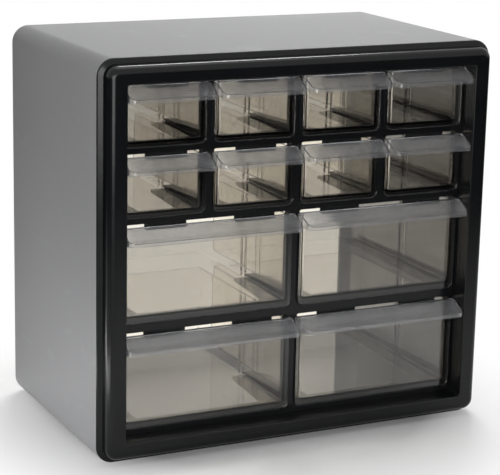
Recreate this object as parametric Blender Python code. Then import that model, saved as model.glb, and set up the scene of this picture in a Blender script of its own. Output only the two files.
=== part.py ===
# Twelve drawer parts organizer: a grey moulded sleeve, a black front frame with its grid of
# openings, stop tabs and runner fingers, and twelve clear drawers with pull hoods.
# Metres, +Z up, front towards -Y, origin on the ground under the middle of the cabinet.

import math
from collections import namedtuple

import bmesh
import bpy
from mathutils import Vector

# Overall cabinet
CABINET_WIDTH = 0.26035
CABINET_DEPTH = 0.15875
CABINET_HEIGHT = 0.2413
CORNER_RADIUS = 0.0105

# Grey case
CASE_WALL = 0.0022
CASE_DRAFT = 0.0001
CASE_REAR_EDGE_RADIUS = 0.001
REAR_RIM_WALL = 0.0022
REAR_RIM_WIDTH = 0.021
REAR_RIM_FOOT = 0.028
REAR_OPENING_RADIUS = 0.006

# Front frame
FRAME_PROJECTION = 0.0109
FLANGE_THICKNESS = 0.0012
FLANGE_EDGE_RADIUS = 0.0009
FLANGE_RISE = 0.0008
BEZEL_STEP = 0.0033
BEZEL_SIDE_DRAFT = 0.0003
BEZEL_EDGE_RADIUS = 0.0046
BAR_WIDTH = 0.0151
TOP_BAR_WIDTH = 0.0145
FOOT_BAR_WIDTH = 0.0137
OPENING_EDGE_RADIUS = 0.0008
OPENING_DRAFT = 0.0003
OPENING_CORNER_RADIUS = 0.0012
FRAME_WALL = 0.002
SKIRT_DEPTH = 0.008
SKIRT_WALL = 0.0018
GRID_DEPTH = 0.007

# Drawer bank
TOP_ROW_GAP = 0.0023
FOOT_ROW_GAP = 0.0035
COLUMN_GAP = 0.0049
ROW_GAP = 0.0052
WIDE_ROW_GAP = 0.0071
PANEL_RECESS = 0.0125
CELL_CORNER_RADIUS = 0.0025
CELL_MARGIN = 0.00095
CELL_HEADROOM = 0.0013

# Stop tabs
TAB_WIDTH = 0.0262
TAB_OFFSET = 0.0021
TAB_THICKNESS = 0.0020
TAB_DROP = 0.0022
TAB_ROOT = 0.001
TAB_RADIUS = 0.0012

# Runner fingers
FINGER_REACH = 0.051
SIDE_FINGER_SHORT = 0.0061
FINGER_ROOT = 0.003
FINGER_LEDGE = 0.0018
FINGER_ROOT_HALF_WIDTH = 0.0165
FINGER_TIP_HALF_WIDTH = 0.0125
WEB_ROOT_HEIGHT = 0.0055
WEB_TIP_HEIGHT = 0.0032

# Drawers
PANEL_THICKNESS = 0.0016
PANEL_SMALL_HEIGHT = 0.0365
PANEL_SMALL_COVER = 0.0017
PANEL_WIDE_COVER = 0.0029
PANEL_CORNER_RADIUS = 0.004
PANEL_TOP_RADIUS = 0.001
PANEL_EDGE_RADIUS = 0.0004
TRAY_REAR_GAP = 0.01175
TRAY_WALL = 0.0013
TRAY_SIDE_CLEARANCE = 0.0005
TRAY_DRAFT = 0.0008
TRAY_CORNER_RADIUS = 0.0035
TRAY_FLOOR_RADIUS = 0.0026
TRAY_RIM_BELOW_PANEL = 0.001
DIVIDER_RIB_DEPTH = 0.0010
DIVIDER_RIB_WIDTH = 0.0014
DIVIDER_SLOT_WIDTH = 0.0046
DIVIDER_PLACE_SHARE = 0.46
DIVIDER_RIB_BELOW_RIM = 0.0015

# Pull hoods
HOOD_PROUD = 0.0023
HOOD_OVERHANG = 0.00095
HOOD_SIDE_GAP = 0.0003
HOOD_LEDGE = 0.0018
HOOD_FALL = 0.0057
HOOD_RIM_DEPTH = 0.008
HOOD_WALL = 0.0014
HOOD_CORNER_RADIUS = 0.0045
HOOD_EDGE_CHAMFER = 0.0005
HOOD_ROOT = 0.0008

# Gaps and shared overruns
RUNNING_GAP = 0.0003
SEAT_GAP = 0.0003
FUSE_STEP = 0.0002
MERGE_STEP = 0.00002
CUT_OVERRUN = 0.002

# Counts and angles
COLUMNS = 4
SMALL_ROWS = 2
WIDE_ROWS = 2
CORNER_STEPS = 6
HOOD_CORNER_STEPS = 5
FINE_CORNER_STEPS = 3
SMOOTH_ANGLE = math.radians(32)

# Derived depths
HALF_WIDTH = CABINET_WIDTH / 2
HALF_DEPTH = CABINET_DEPTH / 2
FRONT_Y = -HALF_DEPTH
REAR_Y = HALF_DEPTH
BEZEL_FRONT_Y = FRONT_Y + HOOD_PROUD
CASE_FRONT_Y = BEZEL_FRONT_Y + FRAME_PROJECTION
FLANGE_BACK_Y = CASE_FRONT_Y - SEAT_GAP
FLANGE_FRONT_Y = FLANGE_BACK_Y - FLANGE_THICKNESS
PANEL_FRONT_Y = BEZEL_FRONT_Y + PANEL_RECESS
PANEL_BACK_Y = PANEL_FRONT_Y + PANEL_THICKNESS
GRID_FRONT_Y = PANEL_BACK_Y + RUNNING_GAP
GRID_BACK_Y = GRID_FRONT_Y + GRID_DEPTH
TAB_FRONT_Y = GRID_FRONT_Y + RUNNING_GAP
TAB_BACK_Y = TAB_FRONT_Y + TAB_THICKNESS
RIM_INNER_Y = REAR_Y - REAR_RIM_WALL
TRAY_REAR_Y = RIM_INNER_Y - TRAY_REAR_GAP
SIDE_FINGER_REACH = TRAY_REAR_Y - SIDE_FINGER_SHORT - GRID_BACK_Y
HOOD_PROJECTION = HOOD_PROUD + PANEL_RECESS

# Derived widths and heights of the bank
RECESS_SIDE = BAR_WIDTH + OPENING_DRAFT
PANEL_SIDE = RECESS_SIDE + HOOD_SIDE_GAP + HOOD_OVERHANG
COLUMN_PITCH = (CABINET_WIDTH - 2 * PANEL_SIDE + COLUMN_GAP) / COLUMNS
PANEL_SMALL_WIDTH = COLUMN_PITCH - COLUMN_GAP
PANEL_WIDE_WIDTH = COLUMN_PITCH + PANEL_SMALL_WIDTH
FIRST_COLUMN_X = -COLUMN_PITCH * (COLUMNS - 1) / 2
DIVIDER_WIDTH = COLUMN_GAP + 2 * CELL_MARGIN
TOP_PANEL_Z = CABINET_HEIGHT - TOP_BAR_WIDTH - TOP_ROW_GAP
WIDE_TOP_Z = TOP_PANEL_Z - SMALL_ROWS * (PANEL_SMALL_HEIGHT + ROW_GAP)
WIDE_FOOT_Z = FOOT_BAR_WIDTH + FOOT_ROW_GAP
WIDE_ROW_PITCH = (WIDE_TOP_Z - WIDE_FOOT_Z + WIDE_ROW_GAP) / WIDE_ROWS
PANEL_WIDE_HEIGHT = WIDE_ROW_PITCH - WIDE_ROW_GAP

# Derived drawer depths, from the front face of the panel
TRAY_START = PANEL_THICKNESS - TRAY_WALL - FUSE_STEP
TRAY_END = TRAY_REAR_Y - PANEL_FRONT_Y

# Surface colours: red, green, blue, alpha
CASE_COLOUR = (0.31, 0.31, 0.32, 1.0)
FRAME_COLOUR = (0.012, 0.013, 0.014, 1.0)
DRAWER_COLOUR = (0.72, 0.74, 0.75, 0.35)

Row = namedtuple("Row", "top height cover width centres")


def clear_scene():
    for item in list(bpy.data.objects):
        bpy.data.objects.remove(item, do_unlink=True)


def new_collection(name):
    group = bpy.data.collections.new(name)
    bpy.context.scene.collection.children.link(group)
    return group


def plastic(name, colour, roughness):
    material = bpy.data.materials.new(name)
    material.use_nodes = True
    material.diffuse_color = colour
    shader = material.node_tree.nodes["Principled BSDF"]
    shader.inputs["Base Color"].default_value = colour
    shader.inputs["Alpha"].default_value = colour[3]
    shader.inputs["Roughness"].default_value = roughness
    shader.inputs["Metallic"].default_value = 0.0
    return material


def quarter_turn(steps):
    """Sine and cosine at even steps from 0 to 90 degrees."""
    angles = [math.pi / 2 * step / steps for step in range(steps + 1)]
    return [(math.sin(angle), math.cos(angle)) for angle in angles]


def rounded_outline(left, right, low, high, low_radius, high_radius, steps):
    """Points of a rectangle with round corners: two radii at its low edge, two at its high edge."""
    corners = (
        (right - high_radius, high - high_radius, high_radius, 0),
        (left + high_radius, high - high_radius, high_radius, 1),
        (left + low_radius, low + low_radius, low_radius, 2),
        (right - low_radius, low + low_radius, low_radius, 3),
    )
    points = []
    for across, up, radius, quarter in corners:
        for step in range(steps + 1):
            angle = math.pi / 2 * (quarter + step / steps)
            points.append((across + radius * math.cos(angle), up + radius * math.sin(angle)))
    return points


def loft(name, rings, closed):
    """Skin between rings of equal point count: joined end to end when closed, else capped."""
    shape = bmesh.new()
    loops = [[shape.verts.new(point) for point in ring] for ring in rings]
    pairs = list(zip(loops, loops[1:]))
    if closed:
        pairs.append((loops[-1], loops[0]))
    else:
        shape.faces.new(loops[0])
        shape.faces.new(loops[-1])
    for first, second in pairs:
        for index in range(len(first)):
            after = (index + 1) % len(first)
            shape.faces.new((first[index], first[after], second[after], second[index]))
    bmesh.ops.remove_doubles(shape, verts=shape.verts, dist=MERGE_STEP)
    bmesh.ops.recalc_face_normals(shape, faces=shape.faces)
    mesh = bpy.data.meshes.new(name)
    shape.to_mesh(mesh)
    shape.free()
    return mesh


def joined(name, meshes):
    """One mesh that holds several separate bodies."""
    shape = bmesh.new()
    for mesh in meshes:
        shape.from_mesh(mesh)
        bpy.data.meshes.remove(mesh)
    result = bpy.data.meshes.new(name)
    shape.to_mesh(result)
    shape.free()
    return result


def combined(name, base, others, operation):
    """The base mesh with other meshes added to it or cut from it."""
    body = bpy.data.objects.new(name, base)
    tools.objects.link(body)
    helpers = []
    for mesh in others:
        helper = bpy.data.objects.new(mesh.name, mesh)
        helper.hide_render = True
        helper.display_type = "WIRE"
        tools.objects.link(helper)
        helpers.append(helper)
        step = body.modifiers.new(mesh.name, "BOOLEAN")
        step.operation = operation
        step.solver = "EXACT"
        step.object = helper
    graph = bpy.context.evaluated_depsgraph_get()
    result = bpy.data.meshes.new_from_object(body.evaluated_get(graph))
    result.name = name
    for item in [body] + helpers:
        mesh = item.data
        bpy.data.objects.remove(item, do_unlink=True)
        bpy.data.meshes.remove(mesh)
    return result


def add_part(name, mesh, material, place=(0, 0, 0)):
    mesh.materials.clear()
    mesh.materials.append(material)
    mesh.shade_smooth()
    mesh.set_sharp_from_angle(angle=SMOOTH_ANGLE)
    part = bpy.data.objects.new(name, mesh)
    part.location = place
    parts.objects.link(part)
    return part


def upright_ring(side, foot, top, radius, y):
    """Outline across the cabinet, set in from its sides, its foot and its top, at one depth."""
    outline = rounded_outline(
        side - HALF_WIDTH, HALF_WIDTH - side, foot, CABINET_HEIGHT - top, radius, radius, CORNER_STEPS
    )
    return [Vector((x, y, z)) for x, z in outline]


def even_ring(inset, y):
    """Outline set in by one amount all round, its corners following the cabinet's corners."""
    return upright_ring(inset, inset, inset, max(CORNER_RADIUS - inset, OPENING_CORNER_RADIUS), y)


def recess_ring(beyond, y):
    """Outline of the recess that holds the drawer fronts, grown or shrunk all round."""
    return upright_ring(
        BAR_WIDTH + beyond, FOOT_BAR_WIDTH + beyond, TOP_BAR_WIDTH + beyond, OPENING_CORNER_RADIUS, y
    )


def case_mesh():
    """Open sleeve with a rounded rear edge and a rim round its open back."""
    edge = CASE_REAR_EDGE_RADIUS
    rings = [upright_ring(0, 0, 0, CORNER_RADIUS, CASE_FRONT_Y)]
    for sine, cosine in quarter_turn(FINE_CORNER_STEPS):
        inward = edge * (1 - cosine)
        drafted = CASE_DRAFT + inward
        y = REAR_Y - edge + edge * sine
        rings.append(upright_ring(drafted, inward, drafted, CORNER_RADIUS - inward, y))
    for y in (REAR_Y, RIM_INNER_Y):
        rings.append(upright_ring(REAR_RIM_WIDTH, REAR_RIM_FOOT, REAR_RIM_WIDTH, REAR_OPENING_RADIUS, y))
    inner_radius = CORNER_RADIUS - CASE_WALL
    drafted_wall = CASE_WALL + CASE_DRAFT
    rings.append(upright_ring(drafted_wall, CASE_WALL, drafted_wall, inner_radius, RIM_INNER_Y))
    rings.append(upright_ring(CASE_WALL, CASE_WALL, CASE_WALL, inner_radius, CASE_FRONT_Y))
    return loft("case_shell", rings, closed=True)


def bezel_mesh():
    """Hollow picture frame: flange on the case, stepped ring, front face, recess wall and skirt."""
    rings = []
    radius = FLANGE_EDGE_RADIUS
    for sine, cosine in quarter_turn(FINE_CORNER_STEPS):
        rings.append(even_ring(radius * (1 - cosine), FLANGE_FRONT_Y + radius * (1 - sine)))
    rings.append(even_ring(BEZEL_STEP, FLANGE_FRONT_Y - FLANGE_RISE))
    side = BEZEL_STEP + BEZEL_SIDE_DRAFT
    radius = BEZEL_EDGE_RADIUS
    for sine, cosine in quarter_turn(CORNER_STEPS):
        rings.append(even_ring(side + radius * (1 - cosine), BEZEL_FRONT_Y + radius * (1 - sine)))
    rings.append(recess_ring(-OPENING_EDGE_RADIUS, BEZEL_FRONT_Y))
    rings.append(recess_ring(0, BEZEL_FRONT_Y + OPENING_EDGE_RADIUS))
    recess_end_y = GRID_BACK_Y + FUSE_STEP
    rings.append(recess_ring(OPENING_DRAFT, GRID_FRONT_Y + GRID_DEPTH / 2))
    rings.append(recess_ring(OPENING_DRAFT, recess_end_y))
    rings.append(recess_ring(OPENING_DRAFT - FRAME_WALL, recess_end_y))
    rings.append(recess_ring(-FRAME_WALL, BEZEL_FRONT_Y + FRAME_WALL))
    rings.append(even_ring(side + radius, BEZEL_FRONT_Y + FRAME_WALL))
    rings.append(even_ring(side + FRAME_WALL, BEZEL_FRONT_Y + radius))
    skirt_outer = CASE_WALL + RUNNING_GAP
    skirt_end_y = FLANGE_BACK_Y + SKIRT_DEPTH
    rings.append(even_ring(BEZEL_STEP + FRAME_WALL, FLANGE_FRONT_Y))
    rings.append(even_ring(skirt_outer + SKIRT_WALL, FLANGE_BACK_Y))
    rings.append(even_ring(skirt_outer + SKIRT_WALL, skirt_end_y))
    rings.append(even_ring(skirt_outer, skirt_end_y))
    rings.append(even_ring(skirt_outer, FLANGE_BACK_Y))
    rings.append(even_ring(0, FLANGE_BACK_Y))
    return loft("bezel", rings, closed=True)


def bank_rows():
    """Each row's panel top, panel height, panel cover under the tray, panel width and centres."""
    small_centres = [FIRST_COLUMN_X + COLUMN_PITCH * column for column in range(COLUMNS)]
    wide_centres = [(small_centres[i] + small_centres[i + 1]) / 2 for i in range(0, COLUMNS, 2)]
    rows = []
    for row in range(SMALL_ROWS):
        top = TOP_PANEL_Z - row * (PANEL_SMALL_HEIGHT + ROW_GAP)
        rows.append(Row(top, PANEL_SMALL_HEIGHT, PANEL_SMALL_COVER, PANEL_SMALL_WIDTH, small_centres))
    for row in range(WIDE_ROWS):
        top = WIDE_TOP_Z - row * WIDE_ROW_PITCH
        rows.append(Row(top, PANEL_WIDE_HEIGHT, PANEL_WIDE_COVER, PANEL_WIDE_WIDTH, wide_centres))
    return rows


def prism(name, outline, front, back):
    """A flat outline carried straight from one depth to another."""
    return loft(name, [[Vector((x, y, z)) for x, z in outline] for y in (front, back)], closed=False)


def cell_meshes():
    """Cutters for the grid's openings, one for each drawer."""
    meshes = []
    for row in bank_rows():
        half = row.width / 2 - CELL_MARGIN
        low = row.top - row.height + row.cover
        high = row.top + CELL_HEADROOM
        for x in row.centres:
            outline = rounded_outline(
                x - half, x + half, low, high, CELL_CORNER_RADIUS, OPENING_CORNER_RADIUS, FINE_CORNER_STEPS
            )
            meshes.append(prism("cell", outline, GRID_FRONT_Y - CUT_OVERRUN, GRID_BACK_Y + CUT_OVERRUN))
    return meshes


def grid_mesh():
    """Plate with one opening for each drawer, its outer edge within the recess wall."""
    beyond = OPENING_DRAFT - FRAME_WALL / 2
    side = HALF_WIDTH - BAR_WIDTH - beyond
    foot = FOOT_BAR_WIDTH + beyond
    top = CABINET_HEIGHT - TOP_BAR_WIDTH - beyond
    edge_radius = OPENING_CORNER_RADIUS
    outline = rounded_outline(-side, side, foot, top, edge_radius, edge_radius, FINE_CORNER_STEPS)
    plate = prism("grid", outline, GRID_FRONT_Y, GRID_BACK_Y)
    return combined("grid", plate, [joined("cells", cell_meshes())], "DIFFERENCE")


def tab_meshes():
    """Stop tabs that hang from the top of every opening, one for each small column's width."""
    meshes = []
    for row in bank_rows():
        low = row.top - TAB_DROP
        high = row.top + CELL_HEADROOM + TAB_ROOT
        for column in range(COLUMNS):
            x = FIRST_COLUMN_X + COLUMN_PITCH * column + TAB_OFFSET
            left = x - TAB_WIDTH / 2
            outline = rounded_outline(
                left, left + TAB_WIDTH, low, high, TAB_RADIUS, FUSE_STEP, FINE_CORNER_STEPS
            )
            meshes.append(prism("stop tab", outline, TAB_FRONT_Y, TAB_BACK_Y))
    return meshes


def finger_mesh(x, rail_top, reach):
    """Runner finger: a ledge that tapers to its tip, with an upright web between two drawers."""
    web_half = DIVIDER_WIDTH / 2 - RUNNING_GAP
    side_limit = HALF_WIDTH - RECESS_SIDE + FRAME_WALL / 2 - RUNNING_GAP
    top = rail_top - FUSE_STEP
    low = top - FINGER_LEDGE
    root = (GRID_BACK_Y - FINGER_ROOT, FINGER_ROOT_HALF_WIDTH, WEB_ROOT_HEIGHT)
    tip = (GRID_BACK_Y + reach, FINGER_TIP_HALF_WIDTH, WEB_TIP_HEIGHT)
    rings = []
    for y, half, web in (root, tip):
        right_side = [(half, low), (half, top), (web_half, top), (web_half, top + web)]
        left_side = [(-across, z) for across, z in reversed(right_side)]
        ring = []
        for across, z in right_side + left_side:
            held = min(max(x + across, -side_limit), side_limit)
            ring.append(Vector((held, y, z)))
        rings.append(ring)
    return loft("runner finger", rings, closed=False)


def finger_meshes():
    """Short fingers between neighbouring drawers, long ones along both sides of every row."""
    meshes = []
    side_x = COLUMN_PITCH * COLUMNS / 2
    for row in bank_rows():
        rail_top = row.top - row.height + row.cover
        for left, right in zip(row.centres, row.centres[1:]):
            meshes.append(finger_mesh((left + right) / 2, rail_top, FINGER_REACH))
        for x in (-side_x, side_x):
            meshes.append(finger_mesh(x, rail_top, SIDE_FINGER_REACH))
    return meshes


def frame_mesh():
    pieces = [joined("stop tabs", tab_meshes()), joined("runner fingers", finger_meshes()), bezel_mesh()]
    return combined("front_frame", grid_mesh(), pieces, "UNION")


def tray_ring(half, inset, radius, z):
    """Outline of the tray seen from above, narrower towards its rear, at one height."""
    outline = rounded_outline(
        inset - half, half - inset, TRAY_START + inset, TRAY_END - inset, radius, radius, FINE_CORNER_STEPS
    )
    return [Vector((x * (1 - TRAY_DRAFT / half * y / TRAY_END), y, z)) for x, y in outline]


def tray_mesh(half, floor, rim):
    """Open box with round upright corners and a rounded floor edge, inside and out."""
    inner_radius = TRAY_CORNER_RADIUS - TRAY_WALL
    inner_fillet = TRAY_FLOOR_RADIUS - TRAY_WALL
    turns = quarter_turn(FINE_CORNER_STEPS)
    rings = []
    for sine, cosine in turns:
        inward = TRAY_FLOOR_RADIUS * (1 - sine)
        radius = TRAY_CORNER_RADIUS - TRAY_WALL * (1 - sine)
        rings.append(tray_ring(half, inward, radius, floor + TRAY_FLOOR_RADIUS * (1 - cosine)))
    rings.append(tray_ring(half, 0, TRAY_CORNER_RADIUS, rim))
    rings.append(tray_ring(half, TRAY_WALL, inner_radius, rim))
    for sine, cosine in reversed(turns):
        inward = TRAY_WALL + inner_fillet * (1 - sine)
        z = floor + TRAY_WALL + inner_fillet * (1 - cosine)
        rings.append(tray_ring(half, inward, inner_radius, z))
    return loft("tray", rings, closed=False)


def rib_meshes(half, floor, rim):
    """Two upright ribs on each side wall that hold a divider between them."""
    place = TRAY_END * DIVIDER_PLACE_SHARE
    wall_face = half - TRAY_WALL - TRAY_DRAFT * DIVIDER_PLACE_SHARE
    root = wall_face + TRAY_WALL / 2
    crest = wall_face - DIVIDER_RIB_DEPTH
    rib = DIVIDER_RIB_WIDTH / 2
    low = floor + TRAY_WALL - FUSE_STEP
    high = rim - DIVIDER_RIB_BELOW_RIM
    meshes = []
    for side in (-1, 1):
        for turn in (-1, 1):
            y = place + turn * (DIVIDER_SLOT_WIDTH + DIVIDER_RIB_WIDTH) / 2
            section = ((root, y - rib), (root, y + rib), (crest, y + rib / 2), (crest, y - rib / 2))
            rings = [[Vector((side * x, depth, z)) for x, depth in section] for z in (low, high)]
            meshes.append(loft("divider rib", rings, closed=False))
    return meshes


def panel_mesh(half, height):
    """Front panel with round lower corners and softened front edges."""
    rings = []
    for inset, y in ((PANEL_EDGE_RADIUS, 0), (0, PANEL_EDGE_RADIUS), (0, PANEL_THICKNESS)):
        radius = PANEL_CORNER_RADIUS - inset
        top = height - FUSE_STEP
        outline = rounded_outline(
            inset - half, half - inset, inset, top, radius, PANEL_TOP_RADIUS, FINE_CORNER_STEPS
        )
        rings.append([Vector((x, y, z)) for x, z in outline])
    return loft("panel", rings, closed=False)


def hood_top(y):
    """Height of the roof over the panel's top edge: level at first, then sloping down."""
    slope = HOOD_FALL / (HOOD_PROJECTION - HOOD_LEDGE)
    return slope * min(y + HOOD_LEDGE, 0)


def hood_stations(half, radius, back, front):
    """Depths along the hood with its half width at each, narrowing round the front corners."""
    stations = [(back, half), (-HOOD_LEDGE, half)]
    for sine, cosine in quarter_turn(HOOD_CORNER_STEPS):
        stations.append((radius * (1 - sine) - front, half - radius * (1 - cosine)))
    return stations


def hood_mesh(half, height):
    """Pull hood: a sloping roof with a front rim and closed cheeks, open underneath."""
    low = height - HOOD_RIM_DEPTH
    rings = []
    for y, side in hood_stations(half, HOOD_CORNER_RADIUS, HOOD_ROOT, HOOD_PROJECTION):
        top = height + hood_top(y)
        shoulder = (side, top - HOOD_EDGE_CHAMFER)
        right_side = [(side, low), shoulder, (side - HOOD_EDGE_CHAMFER, top)]
        section = right_side + [(-x, z) for x, z in reversed(right_side)]
        rings.append([Vector((x, y, z)) for x, z in section])
    shell = loft("hood", rings, closed=False)
    inner_radius = HOOD_CORNER_RADIUS - HOOD_WALL
    inner_front = HOOD_PROJECTION - HOOD_WALL
    rings = []
    for y, side in hood_stations(half - HOOD_WALL, inner_radius, -FUSE_STEP, inner_front):
        top = height + hood_top(y) - HOOD_WALL
        section = ((-side, low - CUT_OVERRUN), (side, low - CUT_OVERRUN), (side, top), (-side, top))
        rings.append([Vector((x, y, z)) for x, z in section])
    return combined("hood", shell, [loft("hood hollow", rings, closed=False)], "DIFFERENCE")


def drawer_mesh(name, width, height, cover):
    """A drawer in its own frame: front face at y 0, lower edge of its panel at z 0."""
    half = width / 2
    floor = cover + RUNNING_GAP
    rim = height - TRAY_RIM_BELOW_PANEL
    tray_half = half - CELL_MARGIN - TRAY_SIDE_CLEARANCE
    others = [
        panel_mesh(half, height),
        hood_mesh(half + HOOD_OVERHANG, height),
        joined("divider ribs", rib_meshes(tray_half, floor, rim)),
    ]
    return combined(name, tray_mesh(tray_half, floor, rim), others, "UNION")


def add_drawers(material):
    """One mesh for all small drawers and one for all wide drawers, placed row by row."""
    rows = bank_rows()
    meshes = {}
    for size, row in (("small", rows[0]), ("wide", rows[-1])):
        meshes[size] = drawer_mesh(f"{size} drawer", row.width, row.height, row.cover)
    for number, row in enumerate(rows):
        size = "small" if number < SMALL_ROWS else "wide"
        for column, x in enumerate(row.centres):
            name = f"{size}_drawer_r{number + 1}c{column + 1}"
            add_part(name, meshes[size], material, (x, PANEL_FRONT_Y, row.top - row.height))


clear_scene()
parts = new_collection("parts_organizer")
tools = new_collection("cutters")
add_part("case_shell", case_mesh(), plastic("grey case plastic", CASE_COLOUR, 0.45))
add_part("front_frame", frame_mesh(), plastic("black frame plastic", FRAME_COLOUR, 0.18))
add_drawers(plastic("clear drawer plastic", DRAWER_COLOUR, 0.12))
travel = TRAY_REAR_Y - PANEL_BACK_Y - TRAY_WALL - (TAB_BACK_Y - PANEL_BACK_Y) - RUNNING_GAP
print("drawer travel in metres:", round(travel, 4))
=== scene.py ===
import math
from collections import namedtuple

import bmesh
import bpy
from mathutils import Matrix, Vector


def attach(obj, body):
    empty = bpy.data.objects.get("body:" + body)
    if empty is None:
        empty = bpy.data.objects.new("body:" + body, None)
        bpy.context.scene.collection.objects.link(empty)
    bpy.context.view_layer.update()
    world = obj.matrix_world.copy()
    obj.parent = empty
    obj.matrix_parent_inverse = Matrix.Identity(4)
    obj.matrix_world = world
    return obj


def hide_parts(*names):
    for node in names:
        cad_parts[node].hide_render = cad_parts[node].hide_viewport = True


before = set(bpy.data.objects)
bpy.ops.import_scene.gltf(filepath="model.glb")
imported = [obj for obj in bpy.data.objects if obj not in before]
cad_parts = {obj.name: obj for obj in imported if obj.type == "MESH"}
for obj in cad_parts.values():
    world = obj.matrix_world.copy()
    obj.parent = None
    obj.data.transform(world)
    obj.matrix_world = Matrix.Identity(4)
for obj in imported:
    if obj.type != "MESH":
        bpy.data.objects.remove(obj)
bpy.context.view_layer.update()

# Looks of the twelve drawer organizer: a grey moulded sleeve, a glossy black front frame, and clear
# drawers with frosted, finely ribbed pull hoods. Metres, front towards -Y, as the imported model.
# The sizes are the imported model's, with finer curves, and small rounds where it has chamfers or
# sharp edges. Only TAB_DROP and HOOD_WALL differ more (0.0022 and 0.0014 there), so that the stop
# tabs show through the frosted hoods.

# Cabinet
WIDTH, DEPTH, HEIGHT = 0.26035, 0.15875, 0.2413
CORNER_RADIUS = 0.0105
CASE_WALL = 0.0022
CASE_DRAFT = 0.0001
CASE_FRONT_ROUND = 0.0004
REAR_EDGE_RADIUS = 0.001
RIM_WALL = 0.0022
RIM_WIDTH = 0.021
RIM_FOOT = 0.028
RIM_OPENING_RADIUS = 0.006

# Front frame
FRAME_PROJECTION = 0.0109
SEAT_GAP = 0.0003
FLANGE_THICKNESS = 0.0012
FLANGE_EDGE_RADIUS = 0.0009
FLANGE_RISE = 0.0008
BEZEL_STEP = 0.0033
BEZEL_SIDE_DRAFT = 0.0003
BEZEL_EDGE_RADIUS = 0.0046
BAR_WIDTH = 0.0151
TOP_BAR_WIDTH = 0.0145
FOOT_BAR_WIDTH = 0.0137
OPENING_EDGE_RADIUS = 0.0008
OPENING_DRAFT = 0.0003
OPENING_CORNER_RADIUS = 0.0012
FRAME_WALL = 0.002
SKIRT_DEPTH = 0.008
SKIRT_WALL = 0.0018
GRID_DEPTH = 0.007
GRID_EDGE_ROUND = 0.0005

# Drawer bank
TOP_ROW_GAP = 0.0023
FOOT_ROW_GAP = 0.0035
COLUMN_GAP = 0.0049
ROW_GAP = 0.0052
WIDE_ROW_GAP = 0.0071
PANEL_RECESS = 0.0125
CELL_CORNER_RADIUS = 0.0025
CELL_MARGIN = 0.00095
CELL_HEADROOM = 0.0013
COLUMNS = 4
SMALL_ROWS = 2
WIDE_ROWS = 2

# Stop tabs and runner fingers
TAB_WIDTH = 0.0262
TAB_OFFSET = 0.0021
TAB_THICKNESS = 0.002
TAB_DROP = 0.003
TAB_ROOT = 0.001
TAB_RADIUS = 0.0012
FINGER_REACH = 0.051
SIDE_FINGER_SHORT = 0.0061
FINGER_ROOT = 0.003
FINGER_LEDGE = 0.0018
FINGER_ROOT_HALF_WIDTH = 0.0165
FINGER_TIP_HALF_WIDTH = 0.0125
WEB_ROOT_HEIGHT = 0.0055
WEB_TIP_HEIGHT = 0.0032

# Drawers
PANEL_THICKNESS = 0.0016
PANEL_SMALL_HEIGHT = 0.0365
PANEL_SMALL_COVER = 0.0017
PANEL_WIDE_COVER = 0.0029
PANEL_CORNER_RADIUS = 0.004
PANEL_TOP_RADIUS = 0.001
PANEL_EDGE_RADIUS = 0.0005
TRAY_REAR_GAP = 0.01175
TRAY_WALL = 0.0013
TRAY_SIDE_CLEARANCE = 0.0005
TRAY_DRAFT = 0.0008
TRAY_CORNER_RADIUS = 0.0035
TRAY_FLOOR_RADIUS = 0.0026
TRAY_RIM_BELOW_PANEL = 0.001
DIVIDER_RIB_DEPTH = 0.001
DIVIDER_RIB_WIDTH = 0.0014
DIVIDER_SLOT_WIDTH = 0.0046
DIVIDER_PLACE_SHARE = 0.46
DIVIDER_RIB_BELOW_RIM = 0.0015
PANEL_TINT_FADE = 0.0005

# Pull hoods
HOOD_PROUD = 0.0023
HOOD_OVERHANG = 0.00095
HOOD_SIDE_GAP = 0.0003
HOOD_LEDGE = 0.0018
HOOD_FALL = 0.0057
HOOD_RIM_DEPTH = 0.008
HOOD_WALL = 0.0009
HOOD_CORNER_RADIUS = 0.0045
HOOD_EDGE_ROUND = 0.0006
HOOD_ROOT = 0.0008
HOOD_RIB_RADIUS = 0.0001
HOOD_RIB_PITCH = 0.00075
HOOD_RIB_SIDES = 6

# Gaps, overruns and steps
RUNNING_GAP = 0.0003
FUSE_STEP = 0.0002
MERGE_STEP = 0.000005
CUT_OVERRUN = 0.002
CORNER_STEPS = 14
EDGE_STEPS = 5
SMALL_STEPS = 3
SMOOTH_ANGLE = math.radians(35)

# Places that follow from the sizes
HALF_WIDTH = WIDTH / 2
REAR_Y = DEPTH / 2
BEZEL_FRONT_Y = HOOD_PROUD - REAR_Y
CASE_FRONT_Y = BEZEL_FRONT_Y + FRAME_PROJECTION
FLANGE_BACK_Y = CASE_FRONT_Y - SEAT_GAP
FLANGE_FRONT_Y = FLANGE_BACK_Y - FLANGE_THICKNESS
PANEL_FRONT_Y = BEZEL_FRONT_Y + PANEL_RECESS
PANEL_BACK_Y = PANEL_FRONT_Y + PANEL_THICKNESS
GRID_FRONT_Y = PANEL_BACK_Y + RUNNING_GAP
GRID_BACK_Y = GRID_FRONT_Y + GRID_DEPTH
TAB_FRONT_Y = GRID_FRONT_Y + RUNNING_GAP
TAB_BACK_Y = TAB_FRONT_Y + TAB_THICKNESS
RIM_INNER_Y = REAR_Y - RIM_WALL
TRAY_REAR_Y = RIM_INNER_Y - TRAY_REAR_GAP
SIDE_FINGER_REACH = TRAY_REAR_Y - SIDE_FINGER_SHORT - GRID_BACK_Y
HOOD_PROJECTION = HOOD_PROUD + PANEL_RECESS
HOOD_SLOPE = HOOD_FALL / (HOOD_PROJECTION - HOOD_LEDGE)
RECESS_SIDE = BAR_WIDTH + OPENING_DRAFT
PANEL_SIDE = RECESS_SIDE + HOOD_SIDE_GAP + HOOD_OVERHANG
COLUMN_PITCH = (WIDTH - 2 * PANEL_SIDE + COLUMN_GAP) / COLUMNS
PANEL_SMALL_WIDTH = COLUMN_PITCH - COLUMN_GAP
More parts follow.
